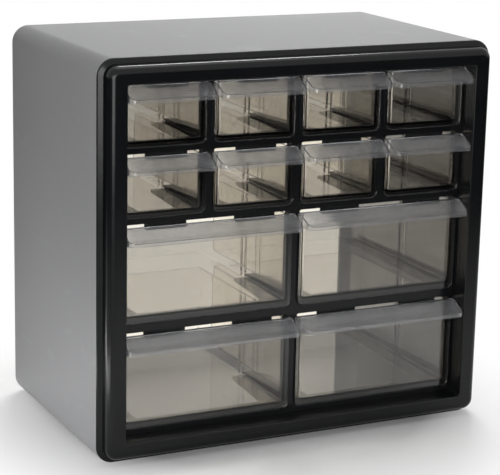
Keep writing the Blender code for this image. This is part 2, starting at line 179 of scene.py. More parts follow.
PANEL_WIDE_WIDTH = COLUMN_PITCH + PANEL_SMALL_WIDTH
FIRST_COLUMN_X = -COLUMN_PITCH * (COLUMNS - 1) / 2
DIVIDER_WIDTH = COLUMN_GAP + 2 * CELL_MARGIN
TOP_PANEL_Z = HEIGHT - TOP_BAR_WIDTH - TOP_ROW_GAP
WIDE_TOP_Z = TOP_PANEL_Z - SMALL_ROWS * (PANEL_SMALL_HEIGHT + ROW_GAP)
WIDE_ROW_PITCH = (WIDE_TOP_Z - FOOT_BAR_WIDTH - FOOT_ROW_GAP + WIDE_ROW_GAP) / WIDE_ROWS
PANEL_WIDE_HEIGHT = WIDE_ROW_PITCH - WIDE_ROW_GAP
TRAY_START = PANEL_THICKNESS - TRAY_WALL - FUSE_STEP
TRAY_END = TRAY_REAR_Y - PANEL_FRONT_Y

# Colours, each as a share of red, green and blue. Pairs are the two ends of a pattern.
CASE_GREY = ((0.265, 0.266, 0.272), (0.290, 0.291, 0.297))
CASE_WORN = (0.45, 0.45, 0.46)
FRAME_BLACK = ((0.0030, 0.0034, 0.0040), (0.009, 0.0095, 0.010))
WALL_CLEAR = ((0.945, 0.925, 0.885), (0.965, 0.945, 0.91))
PANEL_SMOKE = (0.54, 0.53, 0.51)
HOOD_FROST = ((0.75, 0.755, 0.77), (0.80, 0.805, 0.82))
# Painted light: the rear card's glow, from its painted-shade end to its bright end.
REAR_CARD_GLOW = ((0.12, 0.115, 0.105), (1.0, 0.97, 0.90))
FLOOR_WHITE = (0.92, 0.92, 0.92, 1.0)
NO_COLOUR = (0.0, 0.0, 0.0, 1.0)
CASE_WEAR_START = 0.0012
CASE_WEAR_END = 0.0002

# Camera
CAMERA_YAW = math.radians(26.294)
CAMERA_PITCH = math.radians(-14.079)
CAMERA_ROLL = math.radians(1.288)
CAMERA_DISTANCE = 1.173363
CAMERA_TARGET = Vector((0.000909, 0.0, 0.110724))
CAMERA_LENS = 132.376
CAMERA_CLIP_START = 0.05
SENSOR_WIDTH = 36.0

# Studio
FLOOR_SIZE = 30.0
FLOOR_FADE_START = 0.115
FLOOR_FADE_END = 0.21
FLOOR_FADE_GLOW = 1.0
# Painted reflection: beyond these reaches, mirrors see the floor as a dim glow, painted darkness.
GLOSS_FADE_START = 0.30
GLOSS_FADE_END = 0.75
GLOSS_FADE_GLOW = 0.03
# The rear card glows as painted light; these ramps paint shade on it towards its left end and its
# top.
REAR_CARD_DISTANCE = 0.03
REAR_CARD_FOOT = 0.0005
REAR_CARD_LEFT_SHARE = 1.5
REAR_CARD_DARK_X = -0.105
REAR_CARD_LIGHT_X = -0.055
REAR_CARD_SHADE_START = 0.138
REAR_CARD_SHADE_END = 0.19
REAR_CARD_SHADE = 0.36
DAYLIGHT = 0.205
LAMPS = {
    "overhead_softbox": {
        "place": (0.15, 0.1, 1.5), "aim": (0, 0, 0.12),
        "width": 1.0, "height": 0.8, "power": 4.0,
    },
    "rear_strip": {
        "place": (0.47, 0.65, 1.1), "aim": (0, 0, 0.24),
        "width": 0.36, "height": 0.16, "power": 3.1,
    },
    "rear_fill": {
        "place": (0.35, 0.65, 0.42), "aim": (0, 0, 0),
        "width": 0.5, "height": 0.3, "power": 5.0,
    },
    "low_left_card": {
        "place": (-0.25, -0.01, 0.015), "aim": (-0.13, -0.01, 0.02),
        "width": 0.28, "height": 0.02, "power": 0.1,
    },
    "low_front_card": {
        "place": (-0.45, -0.85, 0.22), "aim": (0, -0.08, 0.03),
        "width": 0.6, "height": 0.45, "power": 4.6,
    },
}


# Shapes

def quarter_turn(steps):
    """Sine and cosine at even steps from 0 to 90 degrees."""
    angles = [math.pi / 2 * step / steps for step in range(steps + 1)]
    return [(math.sin(angle), math.cos(angle)) for angle in angles]


def rounded_outline(left, right, low, high, low_radius, high_radius, steps):
    """Points of a rectangle with round corners: two radii at its low edge, two at its high edge."""
    corners = (
        (right - high_radius, high - high_radius, high_radius, 0),
        (left + high_radius, high - high_radius, high_radius, 1),
        (left + low_radius, low + low_radius, low_radius, 2),
        (right - low_radius, low + low_radius, low_radius, 3),
    )
    points = []
    for across, up, radius, quarter in corners:
        for step in range(steps + 1):
            angle = math.pi / 2 * (quarter + step / steps)
            points.append((across + radius * math.cos(angle), up + radius * math.sin(angle)))
    return points


def upright(outline, y):
    """A flat outline stood up across the cabinet at one depth."""
    return [Vector((x, y, z)) for x, z in outline]


def loft(name, rings, closed):
    """Skin between rings of equal point count: joined end to end when closed, else capped."""
    shape = bmesh.new()
    loops = [[shape.verts.new(point) for point in ring] for ring in rings]
    pairs = list(zip(loops, loops[1:]))
    if closed:
        pairs.append((loops[-1], loops[0]))
    else:
        shape.faces.new(loops[0])
        shape.faces.new(loops[-1])
    for first, second in pairs:
        for index in range(len(first)):
            after = (index + 1) % len(first)
            shape.faces.new((first[index], first[after], second[after], second[index]))
    bmesh.ops.remove_doubles(shape, verts=shape.verts, dist=MERGE_STEP)
    bmesh.ops.recalc_face_normals(shape, faces=shape.faces)
    mesh = bpy.data.meshes.new(name)
    shape.to_mesh(mesh)
    shape.free()
    return mesh


def prism(name, outline, front, back):
    """A flat outline carried straight from one depth to another."""
    return loft(name, [upright(outline, y) for y in (front, back)], closed=False)


def joined(name, meshes):
    """One mesh that holds several separate bodies."""
    shape = bmesh.new()
    for mesh in meshes:
        shape.from_mesh(mesh)
        bpy.data.meshes.remove(mesh)
    result = bpy.data.meshes.new(name)
    shape.to_mesh(result)
    shape.free()
    return result


def on_bench(mesh):
    """A work object that carries a mesh while its modifiers shape it."""
    item = bpy.data.objects.new(mesh.name, mesh)
    workshop.objects.link(item)
    return item


def discard(item):
    """Removes a work object with its mesh."""
    mesh = item.data
    bpy.data.objects.remove(item, do_unlink=True)
    bpy.data.meshes.remove(mesh)


def plain_mesh(item, name):
    """The item's mesh with its modifiers applied. The item itself is removed."""
    graph = bpy.context.evaluated_depsgraph_get()
    result = bpy.data.meshes.new_from_object(item.evaluated_get(graph))
    result.name = name
    discard(item)
    return result


def combined(name, base, others, operation):
    """The base mesh with other meshes added to it or cut from it."""
    body = on_bench(base)
    helpers = [on_bench(mesh) for mesh in others]
    for helper in helpers:
        step = body.modifiers.new(helper.name, "BOOLEAN")
        step.operation = operation
        step.solver = "EXACT"
        step.object = helper
    result = plain_mesh(body, name)
    for helper in helpers:
        discard(helper)
    return result


def shaded(mesh):
    """The mesh with shading that follows its broad faces, so that flat walls look flat."""
    mesh.shade_smooth()
    mesh.set_sharp_from_angle(angle=SMOOTH_ANGLE)
    item = on_bench(mesh)
    step = item.modifiers.new("normals", "WEIGHTED_NORMAL")
    step.mode = "FACE_AREA"
    step.weight = 100
    step.keep_sharp = True
    return plain_mesh(item, mesh.name)


def upright_ring(side, foot, top, radius, y):
    """Outline across the cabinet, set in from its sides, its foot and its top, at one depth."""
    half = HALF_WIDTH - side
    outline = rounded_outline(-half, half, foot, HEIGHT - top, radius, radius, CORNER_STEPS)
    return upright(outline, y)


def even_ring(inset, y):
    """Outline set in by one amount all round, its corners following the cabinet's corners."""
    radius = max(CORNER_RADIUS - inset, OPENING_CORNER_RADIUS)
    return upright_ring(inset, inset, inset, radius, y)


def recess_ring(beyond, y):
    """Outline of the recess that holds the drawer fronts, grown or shrunk all round."""
    side, foot, top = (bar + beyond for bar in (BAR_WIDTH, FOOT_BAR_WIDTH, TOP_BAR_WIDTH))
    return upright_ring(side, foot, top, OPENING_CORNER_RADIUS, y)


def case_mesh():
    """Open sleeve with rounded end edges and a rim round its open back."""
    rings = []
    start = CASE_FRONT_ROUND
    for sine, cosine in quarter_turn(SMALL_STEPS):
        rings.append(even_ring(start * (1 - sine), CASE_FRONT_Y + start * (1 - cosine)))
    edge = REAR_EDGE_RADIUS
    for sine, cosine in quarter_turn(EDGE_STEPS):
        inward = edge * (1 - cosine)
        drafted = CASE_DRAFT + inward
        y = REAR_Y - edge + edge * sine
        rings.append(upright_ring(drafted, inward, drafted, CORNER_RADIUS - inward, y))
    for y in (REAR_Y, RIM_INNER_Y):
        rings.append(upright_ring(RIM_WIDTH, RIM_FOOT, RIM_WIDTH, RIM_OPENING_RADIUS, y))
    inner_radius = CORNER_RADIUS - CASE_WALL
    drafted_wall = CASE_WALL + CASE_DRAFT
    rings.append(upright_ring(drafted_wall, CASE_WALL, drafted_wall, inner_radius, RIM_INNER_Y))
    rings.append(upright_ring(CASE_WALL, CASE_WALL, CASE_WALL, inner_radius, CASE_FRONT_Y))
    return loft("case_shell", rings, closed=True)


def bezel_mesh():
    """Hollow picture frame: flange on the case, stepped ring, front face, recess wall and skirt."""
    rings = []
    radius = FLANGE_EDGE_RADIUS
    for sine, cosine in quarter_turn(EDGE_STEPS):
        rings.append(even_ring(radius * (1 - cosine), FLANGE_FRONT_Y + radius * (1 - sine)))
    rings.append(even_ring(BEZEL_STEP, FLANGE_FRONT_Y - FLANGE_RISE))
    side = BEZEL_STEP + BEZEL_SIDE_DRAFT
    radius = BEZEL_EDGE_RADIUS
    for sine, cosine in quarter_turn(2 * EDGE_STEPS):
        rings.append(even_ring(side + radius * (1 - cosine), BEZEL_FRONT_Y + radius * (1 - sine)))
    edge = OPENING_EDGE_RADIUS
    for sine, cosine in quarter_turn(EDGE_STEPS):
        rings.append(recess_ring(edge * (sine - 1), BEZEL_FRONT_Y + edge * (1 - cosine)))
    recess_end_y = GRID_BACK_Y + FUSE_STEP
    rings.append(recess_ring(OPENING_DRAFT, GRID_FRONT_Y + GRID_DEPTH / 2))
    rings.append(recess_ring(OPENING_DRAFT, recess_end_y))
    rings.append(recess_ring(OPENING_DRAFT - FRAME_WALL, recess_end_y))
    rings.append(recess_ring(-FRAME_WALL, BEZEL_FRONT_Y + FRAME_WALL))
    rings.append(even_ring(side + radius, BEZEL_FRONT_Y + FRAME_WALL))
    rings.append(even_ring(side + FRAME_WALL, BEZEL_FRONT_Y + radius))
    skirt_outer = CASE_WALL + RUNNING_GAP
    skirt_end_y = FLANGE_BACK_Y + SKIRT_DEPTH
    rings.append(even_ring(BEZEL_STEP + FRAME_WALL, FLANGE_FRONT_Y))
    rings.append(even_ring(skirt_outer + SKIRT_WALL, FLANGE_BACK_Y))
    rings.append(even_ring(skirt_outer + SKIRT_WALL, skirt_end_y))
    rings.append(even_ring(skirt_outer, skirt_end_y))
    rings.append(even_ring(skirt_outer, FLANGE_BACK_Y))
    rings.append(even_ring(0, FLANGE_BACK_Y))
    return loft("bezel", rings, closed=True)


# A row of equal drawers: its size word, the height of its panels' top edge, the panels' own height,
# how far they cover the bar below their openings, their width, and each drawer's middle along X.
Row = namedtuple("Row", "size top height cover width centres")


def bank_rows():
    """The rows of drawers, from the top one down."""
    small_centres = [FIRST_COLUMN_X + COLUMN_PITCH * column for column in range(COLUMNS)]
    pairs = zip(small_centres[::2], small_centres[1::2])
    wide_centres = [(left + right) / 2 for left, right in pairs]
    small = (PANEL_SMALL_HEIGHT, PANEL_SMALL_COVER, PANEL_SMALL_WIDTH, small_centres)
    wide = (PANEL_WIDE_HEIGHT, PANEL_WIDE_COVER, PANEL_WIDE_WIDTH, wide_centres)
    rows = []
    for number in range(SMALL_ROWS):
        rows.append(Row("small", TOP_PANEL_Z - number * (PANEL_SMALL_HEIGHT + ROW_GAP), *small))
    for number in range(WIDE_ROWS):
        rows.append(Row("wide", WIDE_TOP_Z - number * WIDE_ROW_PITCH, *wide))
    return rows


def cell_mesh(x, half, low, high):
    """Cutter for one opening of the grid, flared at the front so that the bars get a round edge."""
    edge = GRID_EDGE_ROUND
    stations = [(-CUT_OVERRUN, edge)]
    for sine, cosine in quarter_turn(SMALL_STEPS):
        stations.append((edge * (1 - cosine), edge * (1 - sine)))
    stations.append((GRID_DEPTH + CUT_OVERRUN, 0))
    rings = []
    for depth, flare in stations:
        outline = rounded_outline(
            x - half - flare, x + half + flare, low - flare, high + flare,
            CELL_CORNER_RADIUS + flare, OPENING_CORNER_RADIUS + flare, 2 * SMALL_STEPS,
        )
        rings.append(upright(outline, GRID_FRONT_Y + depth))
    return loft("cell", rings, closed=False)


def grid_mesh():
    """Plate with one opening for each drawer, its outer edge within the recess wall."""
    beyond = OPENING_DRAFT - FRAME_WALL / 2
    side = HALF_WIDTH - BAR_WIDTH - beyond
    foot = FOOT_BAR_WIDTH + beyond
    top = HEIGHT - TOP_BAR_WIDTH - beyond
    edge_radius = OPENING_CORNER_RADIUS
    outline = rounded_outline(-side, side, foot, top, edge_radius, edge_radius, SMALL_STEPS)
    plate = prism("grid", outline, GRID_FRONT_Y, GRID_BACK_Y)
    cells = []
    for row in bank_rows():
        half = row.width / 2 - CELL_MARGIN
        low = row.top - row.height + row.cover
        high = row.top + CELL_HEADROOM
        cells.extend(cell_mesh(x, half, low, high) for x in row.centres)
    return combined("grid", plate, [joined("cells", cells)], "DIFFERENCE")


def tab_meshes():
    """Stop tabs that hang from the top of every opening, one for each small column's width."""
    meshes = []
    for row in bank_rows():
        low = row.top - TAB_DROP
        high = row.top + CELL_HEADROOM + TAB_ROOT
        for column in range(COLUMNS):
            left = FIRST_COLUMN_X + COLUMN_PITCH * column + TAB_OFFSET - TAB_WIDTH / 2
            right = left + TAB_WIDTH
            outline = rounded_outline(left, right, low, high, TAB_RADIUS, FUSE_STEP, EDGE_STEPS)
            meshes.append(prism("stop tab", outline, TAB_FRONT_Y, TAB_BACK_Y))
    return meshes


def finger_mesh(x, rail_top, reach):
    """Runner finger: a ledge that tapers to its tip, with an upright web between two drawers."""
    web_half = DIVIDER_WIDTH / 2 - RUNNING_GAP
    side_limit = HALF_WIDTH - RECESS_SIDE + FRAME_WALL / 2 - RUNNING_GAP
    top = rail_top - FUSE_STEP
    low = top - FINGER_LEDGE
    root = (GRID_BACK_Y - FINGER_ROOT, FINGER_ROOT_HALF_WIDTH, WEB_ROOT_HEIGHT)
    tip = (GRID_BACK_Y + reach, FINGER_TIP_HALF_WIDTH, WEB_TIP_HEIGHT)
    rings = []
    for y, half, web in (root, tip):
        right_side = [(half, low), (half, top), (web_half, top), (web_half, top + web)]
        left_side = [(-across, z) for across, z in reversed(right_side)]
        ring = []
        for across, z in right_side + left_side:
            held = min(max(x + across, -side_limit), side_limit)
            ring.append(Vector((held, y, z)))
        rings.append(ring)
    return loft("runner finger", rings, closed=False)


def finger_meshes():
    """Short fingers between neighbouring drawers, long ones along both sides of every row."""
    meshes = []
    side_x = COLUMN_PITCH * COLUMNS / 2
    for row in bank_rows():
        rail_top = row.top - row.height + row.cover
        for left, right in zip(row.centres, row.centres[1:]):
            meshes.append(finger_mesh((left + right) / 2, rail_top, FINGER_REACH))
        for x in (-side_x, side_x):
            meshes.append(finger_mesh(x, rail_top, SIDE_FINGER_REACH))
    return meshes


def frame_mesh():
    """The whole front frame: grid, stop tabs, runner fingers and bezel in one skin."""
    tabs = joined("stop tabs", tab_meshes())
    fingers = joined("runner fingers", finger_meshes())
    return combined("front_frame", grid_mesh(), [tabs, fingers, bezel_mesh()], "UNION")


def tray_ring(half, inset, radius, z):
    """Outline of the tray seen from above, narrower towards its rear, at one height."""
    outline = rounded_outline(
        inset - half, half - inset, TRAY_START + inset, TRAY_END - inset, radius, radius, EDGE_STEPS
    )
    return [Vector((x * (1 - TRAY_DRAFT / half * y / TRAY_END), y, z)) for x, y in outline]


def tray_mesh(half, floor, rim):
    """Open box with round upright corners and a rounded floor edge, inside and out."""
    inner_radius = TRAY_CORNER_RADIUS - TRAY_WALL
    inner_fillet = TRAY_FLOOR_RADIUS - TRAY_WALL
    turns = quarter_turn(EDGE_STEPS)
    rings = []
    for sine, cosine in turns:
        inward = TRAY_FLOOR_RADIUS * (1 - sine)
        radius = TRAY_CORNER_RADIUS - TRAY_WALL * (1 - sine)
        rings.append(tray_ring(half, inward, radius, floor + TRAY_FLOOR_RADIUS * (1 - cosine)))
    rings.append(tray_ring(half, 0, TRAY_CORNER_RADIUS, rim))
    rings.append(tray_ring(half, TRAY_WALL, inner_radius, rim))
    for sine, cosine in reversed(turns):
        inward = TRAY_WALL + inner_fillet * (1 - sine)
        z = floor + TRAY_WALL + inner_fillet * (1 - cosine)
        rings.append(tray_ring(half, inward, inner_radius, z))
    return loft("tray", rings, closed=False)


def divider_mesh(half, floor, rim):
    """Two upright ribs on each side wall that hold a divider between them."""
    place = TRAY_END * DIVIDER_PLACE_SHARE
    wall_face = half - TRAY_WALL - TRAY_DRAFT * DIVIDER_PLACE_SHARE
    root = wall_face + TRAY_WALL / 2
    crest = wall_face - DIVIDER_RIB_DEPTH
    rib = DIVIDER_RIB_WIDTH / 2
    heights = (floor + TRAY_WALL - FUSE_STEP, rim - DIVIDER_RIB_BELOW_RIM)
    meshes = []
    for side in (-1, 1):
        for turn in (-1, 1):
            y = place + turn * (DIVIDER_SLOT_WIDTH + DIVIDER_RIB_WIDTH) / 2
            section = (
                (root, y - rib), (root, y + rib), (crest, y + rib / 2), (crest, y - rib / 2),
            )
            rings = [[Vector((side * x, depth, z)) for x, depth in section] for z in heights]
            meshes.append(loft("divider rib", rings, closed=False))
    return joined("divider ribs", meshes)


def panel_mesh(half, height):
    """Front panel with round lower corners and softened front edges."""
    edge = PANEL_EDGE_RADIUS
    turns = quarter_turn(SMALL_STEPS)
    stations = [(edge * (1 - sine), edge * (1 - cosine)) for sine, cosine in turns]
    rings = []
    for inset, y in stations + [(0, PANEL_THICKNESS)]:
        outline = rounded_outline(
            inset - half, half - inset, inset, height - FUSE_STEP,
            PANEL_CORNER_RADIUS - inset, PANEL_TOP_RADIUS, EDGE_STEPS,
        )
        rings.append(upright(outline, y))
    return loft("panel", rings, closed=False)


def hood_top(y):
    """Height of the roof over the panel's top edge: level at first, then sloping down."""
    return HOOD_SLOPE * min(y + HOOD_LEDGE, 0)


def hood_stations(half, radius, back, front):
    """Depths along the hood with its half width at each, narrowing round the front corners."""
    stations = [(back, half), (-HOOD_LEDGE, half)]
    for sine, cosine in quarter_turn(2 * EDGE_STEPS):
        stations.append((radius * (1 - sine) - front, half - radius * (1 - cosine)))
    return stations


def hood_mesh(half, height):
    """Pull hood: a sloping roof with a front rim and closed cheeks, open underneath."""
    low = height - HOOD_RIM_DEPTH
    edge = HOOD_EDGE_ROUND
    rings = []
    for y, side in hood_stations(half, HOOD_CORNER_RADIUS, HOOD_ROOT, HOOD_PROJECTION):
        top = height + hood_top(y)
        right_side = [(side, low)]
        for sine, cosine in quarter_turn(SMALL_STEPS):
            right_side.append((side - edge * (1 - cosine), top - edge * (1 - sine)))
        left_side = [(-x, z) for x, z in reversed(right_side)]
        rings.append(upright(right_side + left_side, y))
    shell = loft("hood", rings, closed=False)
    inner_radius = HOOD_CORNER_RADIUS - HOOD_WALL
    inner_front = HOOD_PROJECTION - HOOD_WALL
    under = low - CUT_OVERRUN
    rings = []
    for y, side in hood_stations(half - HOOD_WALL, inner_radius, -FUSE_STEP, inner_front):
        top = height + hood_top(y) - HOOD_WALL
        rings.append(upright([(-side, under), (side, under), (side, top), (-side, top)], y))
    return combined("hood", shell, [loft("hood hollow", rings, closed=False)], "DIFFERENCE")


def drawer_mesh(name, width, height, cover):
    """A drawer in its own frame: front face at y 0, lower edge of its panel at z 0."""
    half = width / 2
    floor = cover + RUNNING_GAP
    rim = height - TRAY_RIM_BELOW_PANEL
    tray_half = half - CELL_MARGIN - TRAY_SIDE_CLEARANCE
    others = [
        panel_mesh(half, height),
        hood_mesh(half + HOOD_OVERHANG, height),
        divider_mesh(tray_half, floor, rim),
    ]
    return combined(name, tray_mesh(tray_half, floor, rim), others, "UNION")


def rib_tree():
    """Geometry nodes: a straight row of thin round ribs, each laid along X."""
    tree = bpy.data.node_groups.new("hood ribs", "GeometryNodeTree")
    kinds = {
        "Count": "NodeSocketInt", "Start": "NodeSocketVector", "Step": "NodeSocketVector",
        "Length": "NodeSocketFloat", "Radius": "NodeSocketFloat", "Finish": "NodeSocketMaterial",
    }
    inputs = {}
    for label, kind in kinds.items():
        socket = tree.interface.new_socket(name=label, in_out="INPUT", socket_type=kind)
        inputs[label] = socket.identifier
    tree.interface.new_socket(name="Geometry", in_out="OUTPUT", socket_type="NodeSocketGeometry")

    def node(kind, settings=(), **links):
        made = tree.nodes.new(kind)
        for label, value in dict(settings).items():
            setattr(made, label, value)
        for label, source in links.items():
            tree.links.new(source, made.inputs[label.replace("_", " ")])
        return made

    entry = node("NodeGroupInput").outputs
    row = node(
        "GeometryNodeMeshLine", {"mode": "OFFSET"},
        Count=entry["Count"], Start_Location=entry["Start"], Offset=entry["Step"],
    )
    line = node("GeometryNodeCurvePrimitiveLine", {"mode": "DIRECTION"}, Length=entry["Length"])
    line.inputs["Direction"].default_value = (1, 0, 0)
    ring = node("GeometryNodeCurvePrimitiveCircle", Radius=entry["Radius"])
    ring.inputs["Resolution"].default_value = HOOD_RIB_SIDES
    tube = node(
        "GeometryNodeCurveToMesh",
        Curve=line.outputs["Curve"], Profile_Curve=ring.outputs["Curve"],
    )
    tube.inputs["Fill Caps"].default_value = True
    spread = node(
        "GeometryNodeInstanceOnPoints",
        Points=row.outputs["Mesh"], Instance=tube.outputs["Mesh"],
    )
    real = node("GeometryNodeRealizeInstances", Geometry=spread.outputs["Instances"])
    coated = node(
        "GeometryNodeSetMaterial",
        Geometry=real.outputs["Geometry"], Material=entry["Finish"],
    )
    node("NodeGroupOutput", Geometry=coated.outputs["Geometry"])
    return tree, inputs


def rib_mesh(half, height, finish):
    """Fine ribs across the sloping roof of one hood, half sunk in its face."""
    length = 2 * (half - HOOD_CORNER_RADIUS)
    start_y = -HOOD_LEDGE - HOOD_RIB_PITCH
    end_y = HOOD_RIB_PITCH - HOOD_PROJECTION
    count = int((start_y - end_y) / HOOD_RIB_PITCH) + 1
    item = on_bench(bpy.data.meshes.new("hood ribs"))
    step = item.modifiers.new("ribs", "NODES")
    step.node_group = ribs_group
    values = {
        "Count": count, "Start": (-length / 2, start_y, height + hood_top(start_y)),
        "Step": (0, -HOOD_RIB_PITCH, -HOOD_SLOPE * HOOD_RIB_PITCH),
        "Length": length, "Radius": HOOD_RIB_RADIUS, "Finish": finish,
    }
    for label, value in values.items():
        step[rib_inputs[label]] = value
    return plain_mesh(item, "hood ribs")


# Finishes

class Value:
    """A shader socket that takes part in Python arithmetic."""

    def __init__(self, finish, socket):
        self.finish = finish
        self.socket = socket

    def maths(self, operation, first, second):
        return self.finish.node("ShaderNodeMath", {"operation": operation}, {0: first, 1: second})

    def __add__(self, other):
        return self.maths("ADD", self, other)

    __radd__ = __add__

    def __sub__(self, other):
        return self.maths("SUBTRACT", self, other)

    def __rsub__(self, other):
        return self.maths("SUBTRACT", other, self)

    def __mul__(self, other):
        return self.maths("MULTIPLY", self, other)

    __rmul__ = __mul__

    def highest(self, other):
        return self.maths("MAXIMUM", self, other)


class Finish:
    """A node material built on one Principled shader. Patterns read Object coordinates."""

    def __init__(self, name, **constants):
        self.material = bpy.data.materials.new(name)
        self.material.use_nodes = True
        self.tree = self.material.node_tree
        self.shader = self.tree.nodes["Principled BSDF"]
        for label, value in constants.items():
            self.shader.inputs[label.replace("_", " ")].default_value = value
        self.place = self.node("ShaderNodeTexCoord", output="Object")

    def node(self, kind, settings=None, inputs=None, output=0):
        """Any node: its type, its settings, then the values or links of its sockets."""
        made = self.tree.nodes.new(kind)
        for label, value in (settings or {}).items():
            setattr(made, label, value)
        for label, value in (inputs or {}).items():
            if isinstance(value, Value):
                self.tree.links.new(value.socket, made.inputs[label])
            else:
                made.inputs[label].default_value = value
        return Value(self, made.outputs[output])

    def feed(self, label, value):
        """Links a value to one of the shader's own sockets."""
        self.tree.links.new(value.socket, self.shader.inputs[label])

    def noise(self, scale, detail, roughness, stretch=(1, 1, 1)):
        """Soft random pattern, 0 to 1, drawn out along the axes whose stretch is below 1."""
        spot = self.node("ShaderNodeMapping", None, {"Vector": self.place, "Scale": stretch})
        settings = {"Vector": spot, "Scale": scale, "Detail": detail, "Roughness": roughness}
        return self.node("ShaderNodeTexNoise", None, settings, "Fac")

    def ramp(self, value, low, high):
        """0 below low, 1 above high, straight between."""
        inputs = {"Value": value, "From Min": low, "From Max": high}
        return self.node("ShaderNodeMapRange", {"clamp": True}, inputs)

    def mixed(self, share, first, second):
        """A colour between two, by share."""
        mix = self.tree.nodes.new("ShaderNodeMix")
        mix.data_type = "RGBA"
        self.tree.links.new(share.socket, mix.inputs[0])
        for socket, colour in ((mix.inputs[6], first), (mix.inputs[7], second)):
            if isinstance(colour, Value):
                self.tree.links.new(colour.socket, socket)
            else:
                socket.default_value = (*colour, 1.0)
        return Value(self, mix.outputs[2])

    def bump(self, height, distance):
        """Fine relief of the surface: a height from 0 to 1 over a distance in metres."""
        inputs = {"Height": height, "Distance": distance, "Strength": 1.0}
        self.feed("Normal", self.node("ShaderNodeBump", None, inputs, "Normal"))

    def ray(self, kind):
        """1 for rays of one kind, 0 for the rest."""
        return self.node("ShaderNodeLightPath", output=f"Is {kind} Ray")

    def axis(self, letter):
        """The place along one axis, in metres."""
        return self.node("ShaderNodeSeparateXYZ", None, {0: self.place}, letter)


def case_finish():
    """Mid grey plastic with a fine moulded grain, faint flow marks and paler worn edges."""
    finish = Finish("case_grey", Roughness=0.5, Specular_IOR_Level=0.35)
    grain = finish.noise(scale=1500.0, detail=3.0, roughness=0.6)
    flow = finish.noise(scale=9.0, detail=3.0, roughness=0.55, stretch=(1, 0.5, 1.6))
    scratches = finish.noise(scale=55.0, detail=5.0, roughness=0.7, stretch=(1, 0.35, 1))
    scuffs = finish.ramp(scratches, low=0.60, high=0.74)
    rear = finish.ramp(finish.axis("Y"), REAR_Y - CASE_WEAR_START, REAR_Y - CASE_WEAR_END)
    base = finish.mixed(flow, *CASE_GREY)
    finish.feed("Base Color", finish.mixed(0.10 * scuffs + 0.25 * rear, base, CASE_WORN))
    finish.feed("Roughness", 0.44 + 0.10 * grain + 0.06 * flow - 0.06 * scuffs)
    finish.bump(grain, distance=0.00004)
    return finish.material


def frame_finish():
    """Black glossy plastic with a slight orange peel, hairline scuffs and dust spread at random."""
    finish = Finish("frame_black", Specular_IOR_Level=0.25)
    peel = finish.noise(scale=220.0, detail=2.0, roughness=0.5)
    dust = finish.noise(scale=38.0, detail=6.0, roughness=0.72)
    hairlines = finish.noise(scale=320.0, detail=4.0, roughness=0.8, stretch=(0.06, 1, 1))
    marks = finish.ramp(hairlines, low=0.66, high=0.78)
    finish.feed("Base Color", finish.mixed(0.5 * dust + 0.3 * marks, *FRAME_BLACK))
    finish.feed("Roughness", 0.13 + 0.12 * dust + 0.15 * marks)
    finish.bump(peel, distance=0.00003)
    return finish.material


def clear_finish():
    """Clear plastic: nearly colourless tray walls and smoky front panels, with slow flow waves and
    fine handling marks."""
    finish = Finish("drawer_clear", Transmission_Weight=1.0, IOR=1.49, Specular_IOR_Level=0.5)
    waves = finish.noise(scale=26.0, detail=2.0, roughness=0.5, stretch=(1, 0.3, 1))
    rubbing = finish.noise(scale=420.0, detail=4.0, roughness=0.75, stretch=(1, 0.12, 1))
    marks = finish.ramp(rubbing, low=0.64, high=0.82)
    front = finish.ramp(finish.axis("Y"), PANEL_BACK_Y + PANEL_TINT_FADE, PANEL_BACK_Y)
    wall = finish.mixed(waves, *WALL_CLEAR)
    finish.feed("Base Color", finish.mixed(front, wall, PANEL_SMOKE))
    finish.feed("Roughness", 0.01 * waves + 0.06 * marks)
    finish.bump(waves, distance=0.00001)
    return finish.material


def hood_finish():
    """Frosted clear plastic of the pull hoods, with a fine sparkling grain."""
    finish = Finish("hood_frost", Transmission_Weight=0.95, IOR=1.4, Specular_IOR_Level=0.2)
    grain = finish.noise(scale=2200.0, detail=2.0, roughness=0.6)
    cloud = finish.noise(scale=60.0, detail=3.0, roughness=0.6)
    finish.feed("Base Color", finish.mixed(cloud, *HOOD_FROST))
    finish.feed("Roughness", 0.03 + 0.05 * grain)
    finish.bump(grain, distance=0.000015)
    return finish.material


# Pieces

def add_piece(name, mesh, materials, body, nodes=()):
    """A finished piece at the origin, its place in its mesh, riding on a body of the model."""
    mesh.materials.clear()
    for material in materials:
        mesh.materials.append(material)
    mesh = shaded(mesh)
    piece = bpy.data.objects.new(name, mesh)
    dressed.objects.link(piece)
    if nodes:
        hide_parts(*nodes)
    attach(piece, body)
    return piece


def add_drawers():
    """Twelve drawers from two shapes, with their hoods' faces set to the frosted finish."""
    shapes = {}
    for number, row in enumerate(bank_rows(), start=1):
        if row.size not in shapes:
            whole = drawer_mesh(row.size, row.width, row.height, row.cover)
            shapes[row.size] = (whole, rib_mesh(row.width / 2 + HOOD_OVERHANG, row.height, frost))
        for column, x in enumerate(row.centres, start=1):
            place = Matrix.Translation((x, PANEL_FRONT_Y, row.top - row.height))
            tag = f"r{number}c{column}"
            body = f"{row.size}_drawer_{tag}"
            drawer, ribs = (shape.copy() for shape in shapes[row.size])
            in_hood = [face.center.y < -FUSE_STEP / 2 for face in drawer.polygons]
            drawer.transform(place)
            piece = add_piece(
                f"drawer_{tag}", drawer, (clear, frost), body, (body,)
            )
            piece.data.polygons.foreach_set("material_index", [int(flag) for flag in in_hood])
            piece.visible_shadow = False
            ribs.transform(place)
            add_piece(f"hood_ribs_{tag}", ribs, (frost,), body)


def new_collection(name):
    """An empty group of objects in the scene."""
    group = bpy.data.collections.new(name)
    bpy.context.scene.collection.children.link(group)
    return group


# Studio

def area_light(name, place, aim, width, height, power):
    """A rectangular lamp that points at its aim."""
    lamp = bpy.data.lights.new(name, "AREA")
    lamp.shape = "RECTANGLE"
    lamp.size = width
    lamp.size_y = height
    lamp.energy = power
    item = bpy.data.objects.new(name, lamp)
    item.location = place
    item.rotation_euler = (Vector(aim) - Vector(place)).to_track_quat("-Z", "Y").to_euler()
    studio.objects.link(item)
    return item


